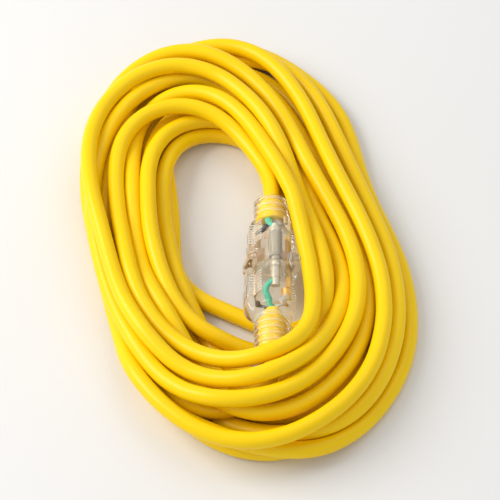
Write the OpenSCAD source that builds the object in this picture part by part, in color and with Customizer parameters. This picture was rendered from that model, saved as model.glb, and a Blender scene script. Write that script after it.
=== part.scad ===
/* [Cord] */
// Outside diameter of the jacketed three-core cord
cord_od = 9.2; // [8.6:0.1:9.6]
// Diameter of one insulated core
core_od = 3; // [2.6:0.1:3.2]

/* [Coil] */
// Length of the oval coil along its long axis
coil_long = 286; // [280:1:292]
// Width of the oval coil across its long axis
coil_wide = 178; // [172:1:182]
// Tilt of the long axis away from the plug axis
coil_tilt = 15; // [12:0.5:18]
// Height of the coil away from the bridge over the plug
coil_h = 29; // [26:0.5:31]
// Height of the strands that bridge over the plug strain relief
bridge_h = 41.5; // [40:0.5:44]
// Length of the opening at the upper layers
opening_long = 168; // [164:1:172]
// Width of the opening at the upper layers
opening_wide = 62; // [60:1:66]

/* [Plug and connector pair] */
// Sideways place of the pair's axis
pair_x = 15; // [14:0.5:16]
// Place of the mating faces along the pull axis
mate_y = -32; // [-33:0.5:-31]
// Height of the pair's axis
pair_z = 22; // [22:0.5:23]
// Roll of the pair about its own axis
pair_roll = 12; // [8:1:14]

/* [Plug] */
// Width over the grip wings
grip_w = 28; // [26:0.5:29]
// Length of the plug's moulded body without its strain relief
plug_len = 31; // [30:0.5:32]
// Outside diameter of the strain relief
relief_od = 20; // [18:0.5:20.5]
// Length of the plug's strain relief
plug_relief_len = 23; // [20:0.5:24]
// Distance between the two flat blades
blade_pitch = 12.7; // [12.7:0.1:12.7]
// Blade thickness
blade_t = 1.52; // [1.5:0.01:1.55]
// Blade width
blade_w = 6.35; // [6.3:0.05:6.4]
// Length of blade that stands out of the face
blade_len = 17.5; // [16:0.1:18]
// Ground pin diameter
pin_d = 4.8; // [4.7:0.01:4.83]
// Length of ground pin that stands out of the face
pin_len = 20.6; // [20:0.1:21]
// Ground pin height above the blade line
pin_rise = 11.9; // [11.8:0.1:12]

/* [Connector] */
// Width of the flange at the mating face
flange_w = 30; // [29:0.5:31]
// Height of the flange
flange_h = 24; // [23:0.5:25]
// Thickness of the flange
flange_t = 6; // [5:0.5:7]
// Length of the connector's moulded body without its strain relief
conn_len = 33; // [32:0.5:34]
// Length of the connector's strain relief
conn_relief_len = 14; // [13:0.5:16]

/* [Hidden] */
$fn = 48;
cord_r = cord_od / 2;
core_r = core_od / 2;
bx = blade_pitch / 2;
// blade line and ground pin heights about the cord axis
bz = -4;
gz = bz + pin_rise;
// depth where the blade's crimp ends and where the jacket ends, behind the mating face
crimp_y = 16;
jacket_y = 26;
c_crimp_y = 24.5;
c_jacket_y = 31;
plug_end = plug_len + plug_relief_len;
conn_end = conn_len + conn_relief_len;
pull = 21;
// cores inside the jacket: black below, white right, green left
core_c = core_r / sin(60) + 0.22;
in_black = [0, -core_c];
in_white = [core_c * cos(30), core_c * sin(30)];
in_green = [-core_c * cos(30), core_c * sin(30)];
yellow = [1.0, 0.83, 0.03];
clear = [0.86, 0.86, 0.82, 0.45];
brass = [0.83, 0.62, 0.33];

// route of the plug's lead, from the strain relief to the coil
plug_lead = [[pair_x, mate_y - plug_end, pair_z], [pair_x, -91, pair_z], [14, -97, 21.6], [12, -102, 21]];
// route of the connector's lead, from its strain relief into the far inner strands
conn_lead = [[pair_x, mate_y + conn_end, pair_z], [pair_x, 22, pair_z], [14, 32, 21.5], [10.5, 42, 21], [5, 51, 20.5], [-3, 62.5, 20.5]];
// one strand cuts across the opening at floor level, under the strain relief
crossing = [[-46.5, -18, 4.7], [-39.5, -29, 4.7], [-30.5, -37, 4.7], [-21.6, -41.5, 4.7], [-10, -46, 4.7], [2, -51, 4.7], [10, -55, 4.7], [17, -60, 4.7], [24, -65, 4.7], [31.5, -66.5, 4.9], [38.5, -63, 7.4], [44, -56, 11.2]];

// ---------- helpers ----------
function ellipse_pts(long, wide, tilt, c, n) =
    [for (i = [0 : n - 1]) let (t = 360 * i / n, u = wide / 2 * cos(t), v = long / 2 * sin(t))
        [c[0] + u * cos(tilt) - v * sin(tilt), c[1] + u * sin(tilt) + v * cos(tilt)]];
function unit(v) = v / norm(v);
function tangent(p, i) = let (n = len(p) - 1)
    i == 0 ? unit(p[1] - p[0]) : i == n ? unit(p[n] - p[n - 1]) : unit(unit(p[i + 1] - p[i]) + unit(p[i] - p[i - 1]));
function ring(p, i, r, s) = let (t = tangent(p, i), a = unit(cross([0, 0, 1], t)), b = cross(t, a))
    [for (k = [0 : s - 1]) p[i] + r * (a * cos(360 * (k + 0.5) / s) + b * sin(360 * (k + 0.5) / s))];
module tube(p, r, s = 12) {
    n = len(p);
    pts = [for (i = [0 : n - 1]) each ring(p, i, r, s)];
    sides = [for (i = [0 : n - 2]) for (k = [0 : s - 1]) let (a = i * s + k, b = i * s + (k + 1) % s)
        each [[a, a + s, b], [b, a + s, b + s]]];
    polyhedron(pts, concat([[for (k = [0 : s - 1]) k]], sides, [[for (k = [s - 1 : -1 : 0]) (n - 1) * s + k]]));
}
// puts a piece of the mated pair in place: +y points into the connector
module in_pair() translate([pair_x, mate_y, pair_z]) rotate([0, pair_roll, 0]) children();
// straight round rod between two points, cut square at both y faces
module rod_y(p, q, r) {
    d = q - p;
    l = norm(d);
    intersection() {
        translate(p - 4 * d / l) rotate([0, acos(d[2] / l), atan2(d[1], d[0])]) cylinder(h = l + 8, r = r);
        translate([-40, min(p[1], q[1]), -40]) cube([80, abs(q[1] - p[1]), 80]);
    }
}
module along_y(y0, l) translate([0, y0 + l, 0]) rotate([90, 0, 0]) linear_extrude(l) children();
module cyl_y(x, z, y0, l, r) translate([x, y0, z]) rotate([-90, 0, 0]) cylinder(h = l, r = r);
module round_rect(w, h, r) {
    square([w - 2 * r, h], center = true);
    square([w, h - 2 * r], center = true);
    for (x = [-1, 1], y = [-1, 1]) translate([x * (w / 2 - r), y * (h / 2 - r)]) circle(r);
}
module oval(long, wide, c, n) polygon(ellipse_pts(long, wide, coil_tilt, c, n));

// ---------- cord ----------
module cord_coil() {
    color(yellow) difference() {
        union() {
            linear_extrude(cord_od) difference() {
                oval(coil_long, coil_wide, [0, 0], 96);
                oval(opening_long - 20, opening_wide - 3, [-2, 2], 72);
            }
            translate([0, 0, cord_od]) linear_extrude(coil_h - cord_od - 6) difference() {
                oval(coil_long, coil_wide, [0, 0], 96);
                oval(opening_long, opening_wide, [-2, -8], 72);
            }
            translate([0, 0, coil_h - 6]) linear_extrude(6) difference() {
                oval(coil_long - 14, coil_wide - 14, [0, 0], 96);
                oval(opening_long + 10, opening_wide + 10, [-2, -8], 72);
            }
            translate([0, 0, coil_h - 6]) linear_extrude(bridge_h - coil_h + 6) intersection() {
                difference() {
                    oval(coil_long - 14, coil_wide - 14, [0, 0], 96);
                    oval(opening_long, opening_wide, [-2, -8], 72);
                }
                translate([-34, -132]) square([92, 43.2]);
            }
        }
        // room for the pair, and for the plug as it is pulled out
        translate([pair_x - 19, mate_y - plug_len - pull - 0.6, cord_od + 0.6]) cube([37.6, plug_len + pull + 8, 60]);
        translate([pair_x - 16.5, mate_y + 5, cord_od + 0.6]) cube([33, conn_len - 4, 60]);
        translate([pair_x - relief_od / 2 - 0.6, mate_y + conn_len, cord_od + 0.6]) cube([relief_od + 1.2, conn_relief_len + 0.6, 60]);
        // tunnel for the strain relief and the lead behind it
        translate([pair_x - relief_od / 2 - 0.6, mate_y - plug_end - pull - 0.5, cord_od + 0.6])
            cube([relief_od + 1.2, plug_relief_len + 6, pair_z + relief_od / 2 + 0.6 - cord_od - 0.6]);
    }
}
module cord_crossing_turn() color(yellow) tube(crossing, cord_r);
module cord_lead_plug() color(yellow) tube(plug_lead, cord_r);
module cord_lead_connector() color(yellow) tube(conn_lead, cord_r);

// ---------- shapes shared by plug and connector ----------
module hump_section() {
    translate([0, 3]) circle(10);
    translate([0, -4]) round_rect(22, 13, 4);
}
module relief(y0, l, dir) {
    // barrel with raised rings and a domed end
    translate([0, y0, 0]) rotate([dir * 90, 0, 0]) rotate_extrude() difference() {
        union() {
            square([relief_od / 2 - 0.8, l - 4]);
            translate([0, l - 4]) square([relief_od / 2 - 4, 4]);
            intersection() {
                translate([relief_od / 2 - 4.8, l - 4]) circle(4);
                square([relief_od, l]);
            }
            for (i = [0 : floor((l - 6) / 4)]) translate([0, 1.2 + i * 4]) square([relief_od / 2, 2]);
        }
        translate([-1, -1]) square([1, l + 2]);
    }
}
module blade(x, l, back) {
    translate([x - blade_t / 2, -back, bz - blade_w / 2]) cube([blade_t, back + l - 1.5, blade_w]);
    translate([x - blade_t / 2, l - 1.5, bz - blade_w / 2 + 1]) cube([blade_t, 1.5, blade_w - 2]);
}
module blade_metal(x) {
    blade(x, blade_len, 11);
    cyl_y(x, bz, -crimp_y, 5, 2.1);
}
module pin_metal() {
    cyl_y(0, gz, -11, pin_len + 11 - pin_d / 2, pin_d / 2);
    translate([0, pin_len - pin_d / 2, gz]) sphere(d = pin_d);
    cyl_y(0, gz, -crimp_y, 5, 2.1);
}
module plate_section() {
    translate([0, bz + 1.2]) round_rect(19, 12, 3);
    translate([0, gz - 1]) circle(5);
    translate([-5, bz]) square([10, gz - bz - 1]);
}

// ---------- plug ----------
module plug_wire_shape(c) {
    if (c == 0) rod_y([in_black[0], -jacket_y, in_black[1]], [-bx, -crimp_y, bz], core_r);
    if (c == 1) rod_y([in_white[0], -jacket_y, in_white[1]], [bx, -crimp_y, bz], core_r);
    if (c == 2) rod_y([in_green[0], -jacket_y, in_green[1]], [0, -crimp_y, gz], core_r);
}
module plug_jacket_shape() cyl_y(0, 0, -plug_end, plug_end - jacket_y, cord_r);
module plug_bridge_shape() along_y(-4, 3) plate_section();
module plug_body() {
    color(clear) in_pair() difference() {
        union() {
            along_y(-plug_len + 4, plug_len - 4) hump_section();
            cyl_y(0, 0, -plug_len, 5, relief_od / 2);
            // grip wings with rounded rear ends
            translate([0, 0, -9]) linear_extrude(11) {
                translate([-grip_w / 2, -plug_len + 8]) square([grip_w, plug_len - 15]);
                translate([-grip_w / 2 + 2, -8]) square([grip_w - 4, 8]);
                for (x = [-1, 1]) translate([x * (grip_w / 2 - 8), -plug_len + 8]) circle(8);
            }
            relief(-plug_len, plug_relief_len, 1);
            // fine grip ribs on both wings
            for (x = [-1, 1], i = [0 : 7]) translate([x * (grip_w / 2 - 3.6) - 2.4, -19 + i * 1.7, 1]) cube([4.8, 0.8, 1.5]);
        }
        plug_bridge_shape();
        for (x = [-bx, bx]) {
            blade(x, blade_len, 11);
            cyl_y(x, bz, -crimp_y, 5, 2.1);
        }
        cyl_y(0, gz, -11, 12, pin_d / 2);
        cyl_y(0, gz, -crimp_y, 5, 2.1);
        for (c = [0 : 2]) plug_wire_shape(c);
        plug_jacket_shape();
    }
}
module plug_bridge() {
    color([0.92, 0.92, 0.88, 0.7]) in_pair() difference() {
        plug_bridge_shape();
        for (x = [-bx, bx]) blade(x, blade_len, 11);
        cyl_y(0, gz, -11, 12, pin_d / 2);
    }
}
module plug_blade_hot() color(brass) in_pair() blade_metal(-bx);
module plug_blade_neutral() color(brass) in_pair() blade_metal(bx);
module plug_ground_pin() color([0.78, 0.77, 0.73]) in_pair() pin_metal();
module plug_wire_black() color([0.08, 0.08, 0.08]) in_pair() plug_wire_shape(0);
module plug_wire_white() color([0.93, 0.92, 0.88]) in_pair() plug_wire_shape(1);
module plug_wire_green() color([0.2, 0.68, 0.55]) in_pair() plug_wire_shape(2);
module plug_jacket_end() color(yellow) in_pair() plug_jacket_shape();

// ---------- connector ----------
module conn_wire_shape(c) {
    if (c == 0) rod_y([in_black[0], c_jacket_y, in_black[1]], [-bx, c_crimp_y, bz], core_r);
    if (c == 1) rod_y([in_white[0], c_jacket_y, in_white[1]], [bx, c_crimp_y, bz], core_r);
    if (c == 2) rod_y([in_green[0], c_jacket_y, in_green[1]], [0, c_crimp_y, gz], core_r);
}
module conn_jacket_shape() cyl_y(0, 0, c_jacket_y, conn_end - c_jacket_y, cord_r);
module contact_outer(x) {
    translate([x - 1.9, 3, bz - 4]) cube([3.8, 17, 8]);
    cyl_y(x, bz, 20, c_crimp_y - 20, 1.9);
}
module ground_outer() {
    cyl_y(0, gz, 3, 19, 3.3);
    cyl_y(0, gz, 22, c_crimp_y - 22, 1.9);
}
module insert_shape() along_y(0, 19) plate_section();
module lamp_shape() {
    cyl_y(0, -1.4, 21, 6, 1.4);
    translate([0, 21, -1.4]) sphere(r = 1.4);
}
module resistor_shape() translate([5.4, 28, 4.2]) rotate([-90, 0, 0]) cylinder(h = 4.6, r = 1);
module lamp_lead_shapes() {
    rod_y([0.5, 27, -1.4], [5.4, 28, 4.2], 0.3);
}
module connector_body() {
    color(clear) in_pair() difference() {
        union() {
            along_y(0, flange_t) round_rect(flange_w, flange_h, 6);
            along_y(flange_t, conn_len - flange_t - 4) hump_section();
            cyl_y(0, 0, conn_len - 5, 5, relief_od / 2);
            translate([0, 0, -9]) linear_extrude(11) {
                translate([-grip_w / 2, flange_t]) square([grip_w, conn_len - flange_t - 8]);
                for (x = [-1, 1]) translate([x * (grip_w / 2 - 8), conn_len - 8]) circle(8);
            }
            relief(conn_len, conn_relief_len, -1);
            for (x = [-1, 1], i = [0 : 7]) translate([x * (grip_w / 2 - 3.6) - 2.4, 14 + i * 1.7, 1]) cube([4.8, 0.8, 1.5]);
        }
        insert_shape();
        for (x = [-bx, bx]) contact_outer(x);
        ground_outer();
        for (c = [0 : 2]) conn_wire_shape(c);
        conn_jacket_shape();
        lamp_shape();
        resistor_shape();
        lamp_lead_shapes();
    }
}
module connector_insert() {
    color([0.92, 0.92, 0.88, 0.7]) in_pair() difference() {
        insert_shape();
        // blade slots and ground hole, then the chambers that hold the contacts
        for (x = [-bx, bx]) {
            translate([x - 1.1, -1, bz - 3.7]) cube([2.2, 5, 7.4]);
            contact_outer(x);
        }
        cyl_y(0, gz, -1, 5, 2.7);
        ground_outer();
    }
}
module contact(x) {
    difference() {
        contact_outer(x);
        translate([x - blade_t / 2 - 0.05, 2, bz - 3.4]) cube([blade_t + 0.1, 16.5, 6.8]);
    }
}
module contact_hot() color(brass) in_pair() contact(-bx);
module contact_neutral() color(brass) in_pair() contact(bx);
module contact_ground() {
    color([0.78, 0.77, 0.73]) in_pair() difference() {
        ground_outer();
        cyl_y(0, gz, 2, 19.4, pin_d / 2 + 0.05);
    }
}
module connector_wire_black() color([0.08, 0.08, 0.08]) in_pair() conn_wire_shape(0);
module connector_wire_white() color([0.93, 0.92, 0.88]) in_pair() conn_wire_shape(1);
module connector_wire_green() color([0.2, 0.68, 0.55]) in_pair() conn_wire_shape(2);
module connector_jacket_end() color(yellow) in_pair() conn_jacket_shape();
module indicator_lamp() color([0.95, 0.6, 0.35]) in_pair() lamp_shape();
module lamp_resistor() color([0.75, 0.65, 0.5]) in_pair() resistor_shape();
module lamp_leads() color([0.7, 0.7, 0.72]) in_pair() difference() {
    lamp_lead_shapes();
    lamp_shape();
    resistor_shape();
}

cord_coil();
cord_crossing_turn();
cord_lead_plug();
cord_lead_connector();
plug_body();
plug_bridge();
plug_blade_hot();
plug_blade_neutral();
plug_ground_pin();
plug_wire_black();
plug_wire_white();
plug_wire_green();
plug_jacket_end();
connector_body();
connector_insert();
contact_hot();
contact_neutral();
contact_ground();
connector_wire_black();
connector_wire_white();
connector_wire_green();
connector_jacket_end();
indicator_lamp();
lamp_resistor();
lamp_leads();
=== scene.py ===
import bpy
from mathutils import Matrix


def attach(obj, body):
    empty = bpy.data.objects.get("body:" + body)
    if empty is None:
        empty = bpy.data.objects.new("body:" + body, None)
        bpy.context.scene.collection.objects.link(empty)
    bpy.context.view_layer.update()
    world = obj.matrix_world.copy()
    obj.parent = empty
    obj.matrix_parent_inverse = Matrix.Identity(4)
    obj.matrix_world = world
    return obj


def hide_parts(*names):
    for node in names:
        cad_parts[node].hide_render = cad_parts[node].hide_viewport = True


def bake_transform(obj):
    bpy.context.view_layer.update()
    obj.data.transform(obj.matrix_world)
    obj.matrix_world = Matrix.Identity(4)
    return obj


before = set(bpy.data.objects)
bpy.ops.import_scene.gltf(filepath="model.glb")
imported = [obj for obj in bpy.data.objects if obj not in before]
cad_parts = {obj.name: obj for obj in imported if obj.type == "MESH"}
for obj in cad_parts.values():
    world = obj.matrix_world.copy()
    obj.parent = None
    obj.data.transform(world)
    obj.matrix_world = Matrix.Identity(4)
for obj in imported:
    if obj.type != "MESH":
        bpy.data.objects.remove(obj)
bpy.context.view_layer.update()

import bpy
import math
import numpy as np
from mathutils import Matrix, Vector

MM = 0.001
scene = bpy.context.scene

# ---------------------------------------------------------------- camera
cam_data = bpy.data.cameras.new("Camera")
cam = bpy.data.objects.new("Camera", cam_data)
scene.collection.objects.link(cam)
cam_data.sensor_width = 36.0
cam_data.lens = 142.956
cam_data.shift_x = 0.002
cam_data.clip_start, cam_data.clip_end = 0.01, 20.0
cam_data.dof.use_dof = False
cam.location = (0.0025, -0.6424, 0.9131)
cam.rotation_euler = (math.radians(35), 0, 0)
scene.camera = cam

# ---------------------------------------------------------------- helpers


def link(o):
    scene.collection.objects.link(o)
    return o


def mesh_object(name, verts, faces, mat, smooth=True):
    me = bpy.data.meshes.new(name)
    me.from_pydata([tuple(map(float, v)) for v in verts], [], [tuple(map(int, f)) for f in faces])
    me.validate()
    if smooth:
        me.polygons.foreach_set("use_smooth", [True] * len(me.polygons))
    me.materials.append(mat)
    me.update()
    return link(bpy.data.objects.new(name, me))


def spline(points, step):
    """A smooth curve through the points, sampled evenly (finite-difference Hermite, chord length parameter)."""
    P = np.asarray(points, float)
    d = np.maximum(np.linalg.norm(np.diff(P, axis=0), axis=1), 1e-9) ** 0.5
    m = np.zeros_like(P)
    a = (P[1:-1] - P[:-2]) / d[:-1, None]
    b = (P[2:] - P[1:-1]) / d[1:, None]
    m[1:-1] = (a * d[1:, None] + b * d[:-1, None]) / (d[1:] + d[:-1])[:, None]
    m[0], m[-1] = (P[1] - P[0]) / d[0], (P[-1] - P[-2]) / d[-1]
    t = np.linspace(0, 1, 16, endpoint=False)[None, :, None]
    p0, p1, m0, m1, h = P[:-1, None], P[1:, None], m[:-1, None], m[1:, None], d[:, None, None]
    Q = (2 * t**3 - 3 * t**2 + 1) * p0 + (t**3 - 2 * t**2 + t) * h * m0 + (-2 * t**3 + 3 * t**2) * p1 + (t**3 - t**2) * h * m1
    Q = np.vstack([Q.reshape(-1, 3), P[-1:]])
    s = np.concatenate([[0], np.cumsum(np.linalg.norm(np.diff(Q, axis=0), axis=1))])
    n = max(2, int(round(s[-1] / step)))
    at = np.linspace(0, s[-1], n + 1)
    return np.stack([np.interp(at, s, Q[:, k]) for k in range(3)], 1)


def frames(C):
    """Tangents and two normals along a centreline, carried without twist."""
    T = np.gradient(C, axis=0)
    T /= np.linalg.norm(T, axis=1)[:, None]
    N = np.zeros_like(T)
    ref = np.array([0, 0, 1.0]) if abs(T[0, 2]) < 0.9 else np.array([1.0, 0, 0])
    n = np.cross(ref, T[0])
    n /= np.linalg.norm(n)
    for i in range(len(C)):
        n = n - T[i] * float(n @ T[i])
        n /= np.linalg.norm(n)
        N[i] = n
    return T, N, np.cross(T, N)


def tube(name, C, radii, sides, mat):
    """A closed tube of quads round the centreline C in mm. radii is a number or one for each ring; ends are shut with
    flat triangle fans.
    """
    C = np.asarray(C, float)
    R = np.full(len(C), float(radii)) if np.isscalar(radii) else np.asarray(radii, float)
    T, N, B = frames(C)
    a = np.arange(sides) * 2 * math.pi / sides
    ring = np.cos(a)[None, :, None] * N[:, None] + np.sin(a)[None, :, None] * B[:, None]
    V = (C[:, None] + R[:, None, None] * ring).reshape(-1, 3) * MM
    n = len(C)
    i = np.arange(n - 1)[:, None] * sides
    k = np.arange(sides)[None]
    k1 = (k + 1) % sides
    F = np.stack([i + k, i + k1, i + sides + k1, i + sides + k], -1).reshape(-1, 4).tolist()
    verts = V.tolist()
    verts.append((C[0] * MM).tolist())
    verts.append((C[-1] * MM).tolist())
    for q in range(sides):
        F.append([n * sides, (q + 1) % sides, q])
        F.append([n * sides + 1, (n - 1) * sides + q, (n - 1) * sides + (q + 1) % sides])
    return mesh_object(name, verts, F, mat)


# the mated pair stands rolled about its own length, with +y into the connector
ROLL = math.radians(12)
CR, SR = math.cos(ROLL), math.sin(ROLL)
PAIR = (15.0, -32.0, 22.0)


def out(P):
    """Points of the pair's own frame, in mm, as row-frame mm."""
    P = np.asarray(P, float)
    return np.stack([PAIR[0] + P[..., 0] * CR + P[..., 2] * SR, PAIR[1] + P[..., 1], PAIR[2] - P[..., 0] * SR + P[..., 2] * CR], -1)


# ---------------------------------------------------------------- materials


class Nodes:
    """A small helper that builds one node material."""

    def __init__(self, name):
        self.mat = bpy.data.materials.new(name)
        self.mat.use_nodes = True
        self.nt = self.mat.node_tree
        self.nt.nodes.clear()
        self.out = self.add("ShaderNodeOutputMaterial")
        self.coord = self.add("ShaderNodeTexCoord").outputs["Object"]

    def add(self, kind, **inputs):
        n = self.nt.nodes.new(kind)
        for k, v in inputs.items():
            self.set(n.inputs[k.replace("_", " ")], v)
        return n

    def set(self, socket, v):
        if isinstance(v, bpy.types.NodeSocket):
            self.nt.links.new(v, socket)
        else:
            socket.default_value = v

    def noise(self, scale, detail=3.0, rough=0.5, stretch=None):
        n = self.add("ShaderNodeTexNoise", Scale=scale, Detail=detail, Roughness=rough)
        if stretch:
            m = self.add("ShaderNodeMapping")
            m.inputs["Scale"].default_value = stretch
            self.set(m.inputs["Vector"], self.coord)
            self.set(n.inputs["Vector"], m.outputs["Vector"])
        else:
            self.set(n.inputs["Vector"], self.coord)
        return n.outputs["Fac"]

    def ramp(self, fac, stops):
        r = self.add("ShaderNodeValToRGB")
        e = r.color_ramp.elements
        while len(e) < len(stops):
            e.new(0.5)
        for q, (pos, col) in zip(e, stops):
            q.position = pos
            q.color = (*col, 1.0)
        self.set(r.inputs["Fac"], fac)
        return r.outputs["Color"]

    def span(self, fac, lo, hi):
        m = self.add("ShaderNodeMapRange")
        m.inputs["To Min"].default_value = lo
        m.inputs["To Max"].default_value = hi
        self.set(m.inputs["Value"], fac)
        return m.outputs["Result"]

    def mix(self, fac, a, b):
        m = self.nt.nodes.new("ShaderNodeMix")
        m.data_type = "RGBA"
        self.set(m.inputs[0], fac)
        self.set(m.inputs[6], a)
        self.set(m.inputs[7], b)
        return m.outputs[2]

    def bump(self, height, strength, distance):
        return self.add("ShaderNodeBump", Height=height, Strength=strength, Distance=distance).outputs["Normal"]

    def finish(self, shader):
        self.nt.links.new(shader, self.out.inputs["Surface"])
        return self.mat


def jacket_material(name, light, dark, rough=(0.24, 0.36)):
    """Extruded PVC jacket: saturated, satin, with a faint waviness of the cores below and fine drag lines."""
    m = Nodes(name)
    broad = m.noise(26.0, 3.0, 0.55)
    fine = m.noise(900.0, 4.0, 0.6)
    colour = m.ramp(broad, [(0.30, dark), (0.70, light)])
    dust = m.ramp(m.noise(160.0, 5.0, 0.65), [(0.0, (1, 1, 1)), (0.72, (1, 1, 1)), (0.86, (0.90, 0.86, 0.74))])
    tint = m.nt.nodes.new("ShaderNodeMix")
    tint.data_type, tint.blend_type = "RGBA", "MULTIPLY"
    m.set(tint.inputs[0], 0.6)
    m.set(tint.inputs[6], colour)
    m.set(tint.inputs[7], dust)
    b = m.add("ShaderNodeBsdfPrincipled")
    m.set(b.inputs["Base Color"], tint.outputs[2])
    m.set(b.inputs["Roughness"], m.span(m.noise(210.0, 3.0, 0.6), *rough))
    wave = m.add("ShaderNodeMath", )
    wave.operation = "ADD"
    m.set(wave.inputs[0], m.span(m.noise(75.0, 2.0, 0.5), 0.0, 1.0))
    m.set(wave.inputs[1], m.span(fine, 0.0, 0.22))
    m.set(b.inputs["Normal"], m.bump(wave.outputs[0], 0.22, 0.0006))
    b.inputs["Specular IOR Level"].default_value = 0.22
    b.inputs["IOR"].default_value = 1.5
    return m.finish(b.outputs["BSDF"])


def clear_material(name, tint, shade, rough, ior, clarity, coat=0.0, painted_crest_highlight=0.0):
    """Clear moulding: a see-through resin with faint flow lines and a little haze, under a glossy skin, which lets the lamps through."""
    m = Nodes(name)
    flow = m.noise(70.0, 4.0, 0.6, (1.0, 0.35, 1.0))
    g = m.add("ShaderNodeBsdfPrincipled")
    m.set(g.inputs["Base Color"], m.ramp(flow, [(0.30, shade), (0.75, tint)]))
    m.set(g.inputs["Roughness"], m.span(m.noise(240.0, 3.0, 0.6), rough * 0.5, rough * 1.6))
    clear = m.span(flow, clarity - 0.04, clarity + 0.04)
    if painted_crest_highlight:
        # painted highlights: the crests of the rings and grip ribs lose transmission, so they read as pale lines
        # standing in for their highlights
        a = m.add("ShaderNodeAttribute")
        a.attribute_name = "painted_crest_highlight"
        k = m.add("ShaderNodeMath")
        k.operation = "MULTIPLY"
        m.set(k.inputs[0], a.outputs["Fac"])
        k.inputs[1].default_value = painted_crest_highlight
        d = m.add("ShaderNodeMath")
        d.operation = "SUBTRACT"
        d.use_clamp = True
        m.set(d.inputs[0], clear)
        m.set(d.inputs[1], k.outputs[0])
        clear = d.outputs[0]
    m.set(g.inputs["Transmission Weight"], clear)
    m.set(g.inputs["Normal"], m.bump(flow, 0.12, 0.0006))
    g.inputs["IOR"].default_value = ior
    g.inputs["Coat Weight"].default_value = coat
    g.inputs["Coat Roughness"].default_value = 0.05
    g.inputs["Coat IOR"].default_value = 1.5
    t = m.add("ShaderNodeBsdfTransparent")
    m.set(t.inputs["Color"], m.ramp(flow, [(0.30, tuple(c * 0.90 for c in shade)), (0.75, tuple(c * 0.94 for c in tint))]))
    lp = m.add("ShaderNodeLightPath")
    s = m.add("ShaderNodeMixShader")
    m.set(s.inputs[0], lp.outputs["Is Shadow Ray"])
    m.set(s.inputs[1], g.outputs["BSDF"])
    m.set(s.inputs[2], t.outputs["BSDF"])
    return m.finish(s.outputs[0])


def solid_material(name, light, dark, rough=(0.35, 0.5), metallic=0.0, scale=90.0, stretch=None, bump=0.25, depth=0.0002):
    m = Nodes(name)
    f = m.noise(scale, 4.0, 0.6, stretch)
    b = m.add("ShaderNodeBsdfPrincipled")
    m.set(b.inputs["Base Color"], m.ramp(f, [(0.25, dark), (0.75, light)]))
    m.set(b.inputs["Roughness"], m.span(m.noise(scale * 3, 3.0, 0.6, stretch), *rough))
    m.set(b.inputs["Normal"], m.bump(m.noise(scale * 5, 3.0, 0.6, stretch), bump, depth))
    b.inputs["Metallic"].default_value = metallic
    return m.finish(b.outputs["BSDF"])


YELLOW = jacket_material("Yellow jacket", (0.985, 0.66, 0.003), (0.945, 0.615, 0.0025))
# the last argument weights the painted highlight lines on the ring and rib crests
CLEAR = clear_material("Clear moulding", (0.93, 0.90, 0.82), (0.875, 0.84, 0.745), 0.045, 1.20, 0.965, 0.8, 0.50)
INSERT = clear_material("Clear insert", (0.97, 0.96, 0.93), (0.93, 0.91, 0.86), 0.10, 1.05, 0.86)
BRASS = solid_material("Brass", (0.86, 0.50, 0.15), (0.70, 0.38, 0.09), (0.30, 0.45), 0.55, 160.0, (1.0, 0.2, 1.0))
NICKEL = solid_material("Nickel plating", (0.64, 0.595, 0.50), (0.54, 0.50, 0.415), (0.30, 0.45), 0.30, 160.0, (1.0, 0.2, 1.0))
BLACK = solid_material("Black core", (0.030, 0.029, 0.028), (0.016, 0.016, 0.016))
WHITE = solid_material("White core", (0.86, 0.85, 0.80), (0.78, 0.76, 0.69))
GREEN = solid_material("Green core", (0.10, 0.62, 0.45), (0.06, 0.50, 0.36))
LAMP = clear_material("Lamp glass", (0.98, 0.78, 0.62), (0.93, 0.68, 0.50), 0.05, 1.2, 0.75)
RESISTOR = solid_material("Resistor", (0.62, 0.48, 0.30), (0.50, 0.37, 0.21), (0.45, 0.6))
TINNED = solid_material("Tinned wire", (0.72, 0.72, 0.73), (0.58, 0.58, 0.60), (0.25, 0.38), 0.9, 200.0)
# opaque white material for the painted glint beads in the plug moulding
GLINT_BEAD_MAT = solid_material("Painted glint bead", (0.96, 0.96, 0.95), (0.88, 0.88, 0.87), (0.08, 0.16))

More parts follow.
